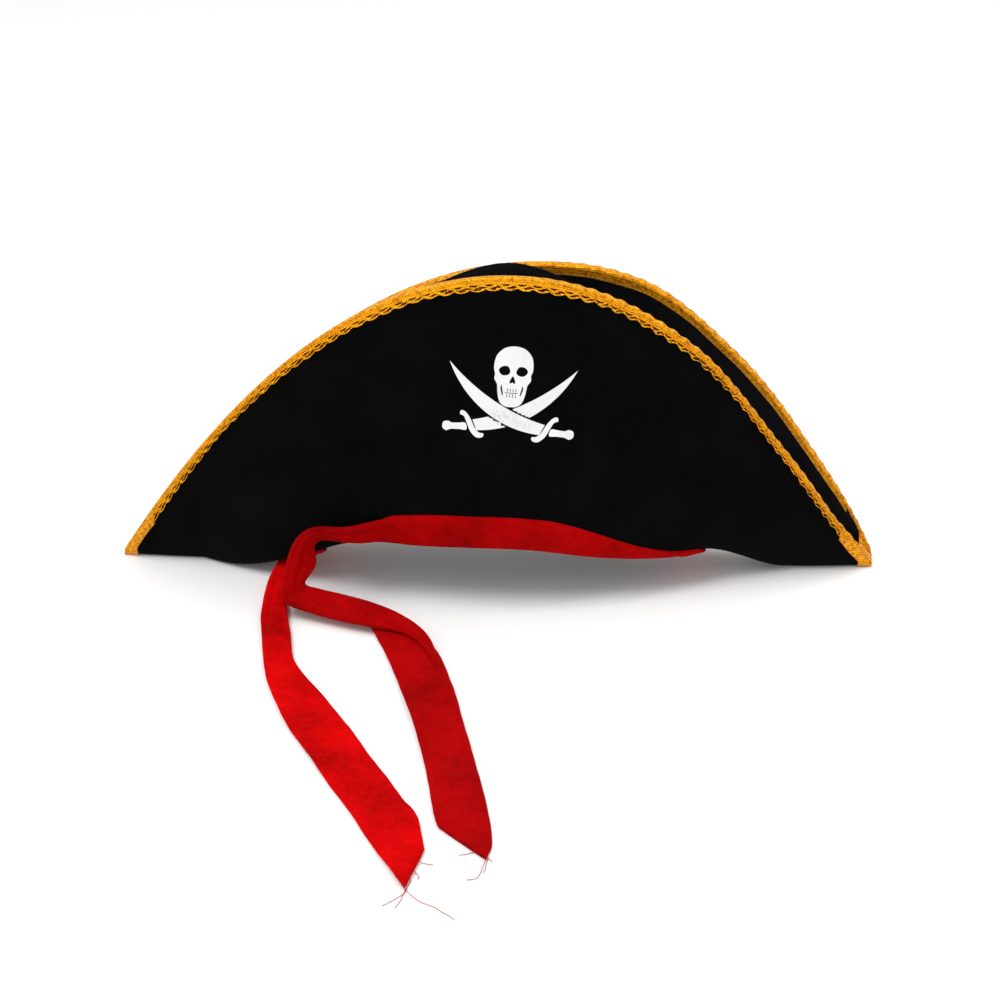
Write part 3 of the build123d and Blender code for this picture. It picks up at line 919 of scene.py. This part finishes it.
def skull_holes():
    eye = smooth_loop([(1.9, 15), (3.6, 18.2), (7.2, 18), (9.2, 15.4), (7, 12.6), (3.4, 12.8)], 8)
    nose = smooth_loop([(0, 12.2), (1.9, 8.4), (0.9, 7.6), (0, 8.3), (-0.9, 7.6), (-1.9, 8.4)], 6)
    cheek = smooth_loop([(6.6, 6.4), (7.2, 4.4), (6.0, 0.2), (5.3, 0.4), (6.1, 4)], 6)
    teeth = [slot_outline(0.22, 0.9) + (x, y) for y in (3.3, -0.3) for x in (-2.7, -0.9, 0.9, 2.7)]
    bite = slot_outline(0.25, 3.9)[:, ::-1] * (-1, 1) + (0, 1.5)
    return [eye, mirrored(eye), nose, cheek, mirrored(cheek), bite, *teeth]


def slot_outline(radius, half_length):
    """Upright rounded bar about the origin."""
    t = np.linspace(0, math.pi, 10)
    top = np.stack([radius * np.cos(t), half_length + radius * np.sin(t)], axis=-1)
    return np.concatenate([top, -top])


def blade_outline(gap=0.0):
    """Blade with its tip up at the left, grown by a gap."""
    edge = arc((-40.5 - gap, 18 + gap), (-17 - gap, -10.5 - gap), (20, -24 - gap))
    back = arc((23, -17.5 + gap), (-8 + gap, -5.5 + gap), (-40.5 - gap, 18 + gap))
    return np.concatenate([edge, back[:-1]])


def guard_outline():
    return smooth_loop([(27.6, -13.2), (30.6, -12.4), (31.2, -14.8), (28.6, -16), (26.2, -20.5),
                        (23.8, -25.2), (19.8, -28.6), (16, -28.2), (15.4, -25.8), (18.2, -25.4),
                        (21.4, -22.4), (24, -17.6)], 6)


def grip_outline():
    return smooth_loop([(27.4, -20.2), (32, -20.6), (36.2, -21), (38.4, -20.2), (41.4, -21.2),
                        (41.8, -24.6), (39.4, -26.4), (37, -25.4), (35.4, -25), (31, -24.6),
                        (26.4, -24.4)], 6)


def filled(loops):
    """Flat mesh inside closed loops, where a loop inside another is a hole."""
    curve = bpy.data.curves.new("outline", "CURVE")
    curve.dimensions = "2D"
    curve.fill_mode = "BOTH"
    for loop in loops:
        spline = curve.splines.new("POLY")
        spline.points.add(len(loop) - 1)
        points = np.column_stack([loop, np.zeros(len(loop)), np.ones(len(loop))])
        spline.points.foreach_set("co", points.ravel())
        spline.use_cyclic_u = True
    flat = bpy.data.objects.new("outline", curve)
    mesh = bpy.data.meshes.new_from_object(flat)
    bpy.data.objects.remove(flat)
    bpy.data.curves.remove(curve)
    bm = bmesh.new()
    bm.from_mesh(mesh)
    bpy.data.meshes.remove(mesh)
    return bm


def cut_mesh(outlines, holes, cutters):
    """Flat mesh of closed outlines less holes and cutters, sliced so it can follow the brim."""
    bm = filled([*outlines, *holes])
    bmesh.ops.remove_doubles(bm, verts=bm.verts, dist=0.001)
    for extent, normal in zip(PRINT_EXTENT, (Vector((1, 0, 0)), Vector((0, 1, 0)))):
        for at in np.arange(*extent, PRINT_SLICE):
            bmesh.ops.bisect_plane(bm, geom=bm.verts[:] + bm.edges[:] + bm.faces[:], dist=0.0005,
                                   plane_co=normal * at, plane_no=normal)
    bmesh.ops.triangulate(bm, faces=bm.faces)
    bmesh.ops.dissolve_degenerate(bm, edges=bm.edges, dist=0.002)
    for keep_out in cutters:
        inside = [f for f in bm.faces if contains(keep_out, f.calc_center_median())]
        bmesh.ops.delete(bm, geom=inside, context="FACES")
    loose = [v for v in bm.verts if not v.link_faces]
    bmesh.ops.delete(bm, geom=loose, context="VERTS")
    return bm


def contains(loop, point):
    """Whether a point lies inside a closed loop."""
    x, y = loop[:, 0], loop[:, 1]
    x2, y2 = np.roll(x, -1), np.roll(y, -1)
    crossing = (y > point.y) != (y2 > point.y)
    with np.errstate(divide="ignore", invalid="ignore"):
        at = x + (point.y - y) * (x2 - x) / (y2 - y)
    return bool(np.sum(crossing & (point.x < at)) % 2)


def print_point(x, y, depth):
    """Point of the design's plane carried on to the front brim's face."""
    angle = math.radians(PRINT_TILT)
    px = PRINT_CENTRE[0] + x * math.cos(angle) - y * math.sin(angle)
    pz = PRINT_CENTRE[1] + x * math.sin(angle) + y * math.cos(angle)
    w = np.sqrt((pz - low_z(px)) / (top_z(FRONT, px) - low_z(px)))
    return ply_point(FRONT, px, w, depth)


def add_print(name, outlines, holes=(), cutters=(), film=PRINT_FILM):
    """Film of the print, wrapped on to the front brim."""
    bm = cut_mesh(outlines, holes, cutters)
    bmesh.ops.recalc_face_normals(bm, faces=bm.faces)
    made = bmesh.ops.extrude_face_region(bm, geom=bm.faces[:], use_keep_orig=True)
    raised = {v for v in made["geom"] if isinstance(v, bmesh.types.BMVert)}
    flat = np.array([v.co[:2] for v in bm.verts])
    depth = np.array([-film if v in raised else PRINT_SINK for v in bm.verts])
    points = place(print_point(flat[:, 0], flat[:, 1], depth))
    for vertex, point in zip(bm.verts, points):
        vertex.co = point
    bmesh.ops.recalc_face_normals(bm, faces=bm.faces)
    mesh = bpy.data.meshes.new(name)
    bm.to_mesh(mesh)
    bm.free()
    mesh.materials.append(PRINT)
    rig.replaces(add_object(name, mesh, "white_print"), name)


def make_print():
    add_print("skull_print", [skull_outline()], skull_holes())
    hilt = [guard_outline(), grip_outline()]
    add_print("upper_sabre_print", [blade_outline(), *hilt], film=1.8 * PRINT_FILM)
    lower = [mirrored(loop) for loop in (blade_outline(), *hilt)]
    add_print("lower_sabre_print", lower, cutters=[blade_outline(PRINT_GAP)])


# Red fleece headband.

def smooth_run(rows, count):
    """Rows of values as a smooth run, evenly spaced by the length of their first three."""
    rows = np.asarray(rows, dtype=float)
    padded = np.concatenate([2 * rows[:1] - rows[1:2], rows, 2 * rows[-1:] - rows[-2:-1]])
    t = np.linspace(0, 1, 40, endpoint=False)[:, None]
    corners = zip(padded, padded[1:], padded[2:], padded[3:])
    fine = np.concatenate([catmull_rom(a, b, c, d, t) for a, b, c, d in corners] + [rows[-1:]])
    steps = np.linalg.norm(np.diff(fine[:, :3], axis=0), axis=1)
    length = np.concatenate([[0], np.cumsum(steps)])
    s = np.linspace(0, length[-1], count)
    return np.stack([np.interp(s, length, column) for column in fine.T], axis=-1), s


def ribbon(rows, seed):
    """Rings of a cloth strip through rows of (left xyz, right xyz, thickness, gather).

    Where gather is near 1 the strip is bunched into lengthwise folds, and where it is near 0 it
    lies flat with a few slow waves. The seed shifts them, so that no two strips are alike.
    """
    rows = np.asarray(rows, dtype=float)
    middle, half = (rows[:, :3] + rows[:, 3:6]) / 2, (rows[:, 3:6] - rows[:, :3]) / 2
    count = int(np.linalg.norm(np.diff(middle, axis=0), axis=1).sum() / RIBBON_STEP)
    run, s = smooth_run(np.concatenate([middle, half, rows[:, 6:]], axis=1), count)
    middle, half, thickness, gather = run[:, None, :3], run[:, None, 3:6], run[:, 6:7], run[:, 7:8]
    s = s[:, None]
    t = np.sin(np.linspace(-math.pi / 2, math.pi / 2, RIBBON_ACROSS))
    edge = 1 + 0.010 * np.sin(s / 9 + seed) + 0.005 * np.sin(s / 3.1 + 2 * seed)
    centre = middle + half * (t * edge)[..., None]
    normal = normalise(np.cross(np.gradient(middle, axis=0), half))
    normal = normal * np.where(normal[..., 2:3] < -0.2, -1, 1)
    round_off = np.maximum(1 - np.abs(t) ** mix(9, 2.6, gather), 0) ** 0.5
    folds = np.sin(5.2 * t + s / 17 + seed) + 0.6 * np.sin(9.7 * t - s / 23 + 2 * seed)
    waves = 0.45 * np.sin(s / 19 + 1.3 * t + seed) + 0.3 * np.sin(s / 8.3 - 2 * t)
    fuzz = 0.09 * np.sin(s * 2.3 + 9 * t) * np.sin(s * 1.1 - 17 * t + seed)
    curl = 0.7 * (np.sin(s / 31 + seed) + 0.3) * np.abs(t) ** 3
    free = 1 - gather
    shape = waves * free + curl * free + fuzz
    swell = (thickness / 2 + 0.09 * thickness * folds * gather) * round_off
    top = centre + normal * (shape + swell)[..., None]
    bottom = centre + normal * (shape - thickness / 2 * round_off)[..., None]
    bottom[..., 2] = np.maximum(bottom[..., 2], TABLE_CLEARANCE)
    top[..., 2] = np.maximum(top[..., 2], bottom[..., 2] + LEAST_CLOTH)
    return padded_rings(top, bottom)


def padded_rings(top, bottom):
    """Rings round a strip whose two sides meet along its edges."""
    return np.concatenate([top, bottom[:, -2:0:-1]], axis=1)


def add_ribbon(name, runs, seed, material):
    """One mesh of one or more closed ribbons."""
    points, faces = [], []
    for rows in runs:
        rings = ribbon(rows, seed)
        faces += tube_faces(*rings.shape[:2], sum(len(part) for part in points))
        points.append(rings.reshape(-1, 3))
    piece = add_mesh(name, np.concatenate(points), faces, material, "red_fleece", body=None)
    bm = bmesh.new()
    bm.from_mesh(piece.data)
    bmesh.ops.recalc_face_normals(bm, faces=bm.faces)
    bm.to_mesh(piece.data)
    bm.free()
    return piece


def add_threads(name, threads, body):
    """Loose threads on the table from a cut end: each is (x, y, heading in degrees, length)."""
    rng = np.random.default_rng(7)
    cosines, sines = circle(5)
    rings, faces = [], []
    for x, y, heading, length in threads:
        turn = np.cumsum(rng.normal(0, THREAD_WANDER, THREAD_STEPS)) + math.radians(heading)
        steps = np.stack([np.cos(turn), np.sin(turn), 0 * turn], axis=-1) * length / THREAD_STEPS
        path = np.concatenate([[[0, 0, 0]], np.cumsum(steps, axis=0)]) + (x, y, 0)
        path[:, 2] = THREAD_REST + THREAD_LIFT * np.exp(-np.linspace(0, 6, len(path)))
        ahead = normalise(np.gradient(path, axis=0))
        side = normalise(np.cross(ahead, [0, 0, 1.0]))
        faces += tube_faces(len(path), len(cosines), len(rings) * len(cosines))
        for centre, one, forward in zip(path, side, ahead):
            rings.append(centre + THREAD_RADIUS * (cosines * one + sines * np.cross(one, forward)))
    return add_mesh(name, np.concatenate(rings), faces, RED_THREAD, "red_fleece", body=body)


LEFT_TAIL = [
    (-129, 0, 17, -112, -2, 25, 3, 0.3),
    (-138, -8, 13, -122, -14, 18, 4, 0.5),
    (-146, -20, 8, -130, -30, 10, 5.5, 0.8),
    (-150, -45, 4.6, -135, -50, 5, 5.5, 0.8),
    (-149, -80, 3.4, -131, -81, 3.8, 4.6, 0.6),
    (-145, -103, 2.6, -126, -104, 3, 3.6, 0.4),
    (-140.5, -128, 2.0, -120, -132, 2.2, 2.8, 0.2),
    (-136, -148, 1.7, -109, -153, 1.9, 2.4, 0.1),
    (-129, -170, 1.6, -97, -172, 1.7, 2.2, 0.05),
    (-115, -203, 1.5, -80, -200, 1.6, 2.1, 0),
    (-90, -248, 1.5, -57, -239, 1.6, 2.1, 0),
    (-67, -288, 1.5, -38, -273, 1.6, 2.1, 0),
    (-48, -323, 1.5, -27, -293, 1.5, 2.1, 0),
    (-28, -359, 1.5, -20, -322, 1.5, 2.1, 0),
]

# Gathered run from the band's end over the left tail, whose rolled end lies on the right tail.
RIGHT_STRAND = [
    (-50, -52.6, 63, -50, -51.0, 48, 0.8, 0.2),
    (-60, -53.4, 62, -60, -51.6, 46, 2.2, 0.3),
    (-72, -54.3, 60.5, -72, -52.6, 44, 3.6, 0.5),
    (-82, -55, 58, -82, -53.5, 43, 4.8, 0.7),
    (-91, -55.7, 56, -90.5, -54.2, 43, 5.8, 0.9),
    (-99, -56.7, 55.5, -98, -55, 44, 6.6, 1),
    (-106, -58, 56.3, -104, -56, 45.5, 7.0, 1),
    (-113, -59.5, 56.8, -109, -57, 46.3, 7.2, 1),
    (-120, -60.5, 54.5, -113, -57.3, 45, 7.4, 1),
    (-126, -61, 49, -115, -57.6, 41.5, 7.2, 0.9),
    (-130, -62, 42, -115, -58, 37, 6.5, 0.8),
    (-133, -64, 33, -114, -60, 31, 6, 0.75),
    (-135, -67, 24, -117, -63, 25, 6, 0.75),
    (-136, -73, 15.5, -121, -65, 19, 7, 0.85),
    (-132, -80, 11, -119, -65, 15.5, 8, 0.95),
    (-121, -84, 9, -112, -64, 13, 8.5, 1),
    (-107, -88, 7.5, -98, -67, 11.5, 9, 1),
    (-93, -92.5, 7, -84, -72, 11, 9, 1),
    (-80, -96.5, 7, -71, -78, 10.5, 8.5, 1),
    (-67, -99, 6.5, -58, -86, 9.5, 8, 1),
    (-54, -103, 6, -46, -96, 8, 7, 1),
    (-44, -111, 5.2, -37, -107, 6.4, 6, 1),
    (-36.5, -123, 4.0, -31.0, -121, 4.8, 4.6, 1),
    (-30, -138, 2.9, -26.5, -137, 3.2, 3, 1),
    (-23.5, -158, 1.9, -21.5, -157.5, 1.9, 1.2, 1),
]

RIGHT_TAIL = [
    (-76, -92, 2.6, -50, -88, 3.6, 3, 0.2),
    (-71.5, -101, 2.2, -42, -97, 3.0, 2.6, 0.1),
    (-64, -118, 1.8, -31, -117, 2.2, 2.4, 0.1),
    (-57, -139, 1.7, -22.5, -139, 2, 2.3, 0.05),
    (-43, -183, 1.6, -12, -178, 1.7, 2.2, 0.05),
    (-30, -230, 1.6, 0, -229, 1.7, 2.1, 0),
    (-22, -268, 1.6, 9, -266, 1.7, 2.1, 0),
    (-16, -297, 1.6, 17, -310, 1.6, 2.1, 0),
    (-12, -303, 1.6, 15, -329, 1.6, 2.1, 0),
]

LEFT_THREADS = [
    (-25, -340, -40, 9), (-27, -354, -75, 22), (-28, -357, -58, 38), (-22, -333, -20, 8),
    (-26, -347, -62, 27),
]
RIGHT_THREADS = [
    (14, -325, -86, 26), (9, -319, -100, 12), (12, -322, -70, 10), (2, -312, -80, 8),
    (15, -326, -55, 14),
]


def make_tails():
    # The left tail takes the fleece with painted light, lighter than the band and the right tail.
    tail = add_ribbon("left_tail_cloth", [LEFT_TAIL], 1.7, PAINTED_LIGHT_FLEECE)
    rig.replaces(tail, "left_tail_root", "left_tail")
    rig.blend(tail, "hat", "left_tail_end", place([-138, -89, 0]), place([-136, -107, 0]))
    threads = add_threads("left_tail_threads", LEFT_THREADS, "left_tail_end")
    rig.sheet(tail, flat=(0.034, 0.4), held="laid", rests_on=["floor"], with_pieces=[threads])

    tail = add_ribbon("right_tail_cloth", [RIGHT_STRAND, RIGHT_TAIL], 4.1, RED_FLEECE)
    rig.replaces(tail, "headband_knot", "right_tail_root", "right_tail")
    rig.blend(tail, "hat", "right_tail_end", place([-63, -95, 0]), place([-51, -113, 0]))
    threads = add_threads("right_tail_threads", RIGHT_THREADS, "right_tail_end")
    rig.sheet(tail, flat=(0.031, 0.42), held="laid", rests_on=["floor"], with_pieces=[threads])


def band_height(x):
    """The band gathers towards the knot, and slips under the brim at the right."""
    height = mix(BAND_KNOT_HEIGHT, BAND_HEIGHT, smooth((x - BAND_LEFT) / BAND_GATHER))
    return height * mix(BAND_END_SHARE, 1, smooth((BAND_RIGHT - x) / BAND_NARROWING))


def make_band_stretch(side, start, end):
    """Stretch of the band along a brim, with a slack lower edge and folds near the knot."""
    x = np.linspace(start, end, 260)[:, None]
    t = np.linspace(-1, 1, 30)
    full = np.sqrt(band_height(x) / (top_z(side, x) - low_z(x)))
    tucked = BAND_TUCK[side] * (1 - smooth((x - start) / BAND_TUCK_LENGTH))
    w = full * mix(tucked, 1 - tucked, (t + 1) / 2)
    gather = 0.6 * np.exp(-(x - start) / 42) * smooth((x - start) / 26)
    folds = 0.8 * np.sin(4.5 * t + x / 21) + 0.5 * np.sin(8 * t - x / 16)
    slack = 0.35 * np.sin(x / 24 + 2 * t) + 0.2 * np.sin(x / 9 - t)
    round_off = np.maximum(1 - np.abs(t) ** 6, 0) ** 0.5
    narrow = smooth((end - x) / 30)
    outer = BAND_GAP + (FLEECE + 0.6 + 1.6 * gather + folds * gather + slack * narrow) * round_off
    rings = padded_rings(ply_point(side, x, w, -outer), ply_point(side, x, w, -BAND_GAP / 2))
    name = f"headband_{NAMES[side]}"
    piece = add_tube(name, *flipped_for(side, rings), RED_FLEECE, "red_fleece")
    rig.replaces(piece, name)
    flat = (BAND_CUT_WIDTH * MM, (end - start + BAND_CUT_EXTRA) * MM)
    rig.sheet(piece, flat=flat, held="stretched", rests_on=[f"{NAMES[side]}_brim_felt"])


def make_band_pass(name, start, end):
    """Stretch that goes under a wing's root from the front to the back."""
    x = np.linspace(start, end, 18)[:, None]
    t = np.linspace(-1, 1, 90)
    y = mix(low_y(FRONT, x) - PASS_OVERHANG, low_y(BACK, x) + PASS_OVERHANG, (t + 1) / 2)
    share = (x - (start + end) / 2) / ((end - start) / 2)
    round_off = np.maximum(1 - np.abs(share) ** 6, 0.01) ** 0.5
    dip = 0.6 + 0.5 * np.sin(5 * t + x / 5)
    top = np.stack(np.broadcast_arrays(x, y, low_z(x) - 0.5 - 0.5 * (1 - round_off)), axis=-1)
    bottom = top - np.stack([0 * y, 0 * y, 0.15 + (FLEECE + dip) * round_off], axis=-1)
    piece = add_shell(name, bottom, top, RED_FLEECE, "red_fleece")
    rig.replaces(piece, name)
    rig.sheet(piece, flat=(0.02, 0.08), held="stretched", rests_on=["front_brim_felt"])


def make_headband():
    make_band_stretch(FRONT, BAND_LEFT, BAND_RIGHT)
    make_band_stretch(BACK, BAND_BACK_LEFT, BAND_RIGHT)
    make_band_pass("headband_left_pass", *LEFT_PASS)
    make_band_pass("headband_right_pass", *RIGHT_PASS)
    make_tails()


# Studio.

def make_floor():
    shader = Shader("floor_paper", Roughness=0.9, Specular_IOR_Level=0.1)
    grain = shader.noise(300, 3)
    shader.colour(shader.ramp(grain, [(0.3, (0.93, 0.93, 0.93)), (0.7, (0.95, 0.95, 0.95))]))
    mesh = bpy.data.meshes.new("floor")
    size, level = 6.0, TABLE - 0.0003
    corners = [(x * size, y * size, level) for x, y in ((-1, -1), (1, -1), (1, 1), (-1, 1))]
    mesh.from_pydata(corners, [], [(0, 1, 2, 3)])
    mesh.materials.append(shader.material)
    floor = bpy.data.objects.new("floor", mesh)
    bpy.context.scene.collection.objects.link(floor)
    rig.stage(floor)


def make_light(name, location, size, power):
    data = bpy.data.lights.new(name, "AREA")
    data.shape = "DISK"
    data.size = size
    data.energy = power
    light = bpy.data.objects.new(name, data)
    light.location = location
    light.rotation_euler = (-Vector(location)).to_track_quat("-Z", "Y").to_euler()
    bpy.context.scene.collection.objects.link(light)


def make_lights():
    world = bpy.data.worlds.new("studio")
    world.use_nodes = True
    world.node_tree.nodes["Background"].inputs["Color"].default_value = (1, 1, 1, 1)
    world.node_tree.nodes["Background"].inputs["Strength"].default_value = 0.78
    bpy.context.scene.world = world
    make_light("key", (-0.7, -0.5, 1.9), 1.3, 21)
    make_light("fill", (1.1, 0.5, 1.6), 1.2, 10)
    bpy.context.scene.view_settings.view_transform = "Standard"


def make_camera():
    azimuth, elevation, distance = math.radians(3.5), math.radians(30), 1.5
    pixels_per_metre, image_width = 1467.0, 1000.0
    back = Vector((math.sin(azimuth) * math.cos(elevation),
                   -math.cos(azimuth) * math.cos(elevation), math.sin(elevation)))
    data = bpy.data.cameras.new("camera")
    data.sensor_width = 36.0
    data.lens = data.sensor_width * distance * pixels_per_metre / image_width
    data.shift_x, data.shift_y = 0.004, 0.063
    camera = bpy.data.objects.new("camera", data)
    camera.location = Vector((0, 0, TABLE)) + back * distance
    camera.rotation_euler = (-back).to_track_quat("-Z", "Y").to_euler()
    bpy.context.scene.collection.objects.link(camera)
    bpy.context.scene.camera = camera


make_camera()
make_lights()
make_floor()
make_brims()
make_crown()
for brim in NAMES:
    make_braid(brim)
    make_binding(brim)
    make_inner_tape(brim)
    make_stitches(brim)
make_tip_wraps()
make_print()
make_headband()

visual_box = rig.bounds()
with open("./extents.json", "w") as out:
    json.dump({"cad": [list(corner) for corner in cad_box],
               "visual": [list(corner) for corner in visual_box]}, out)
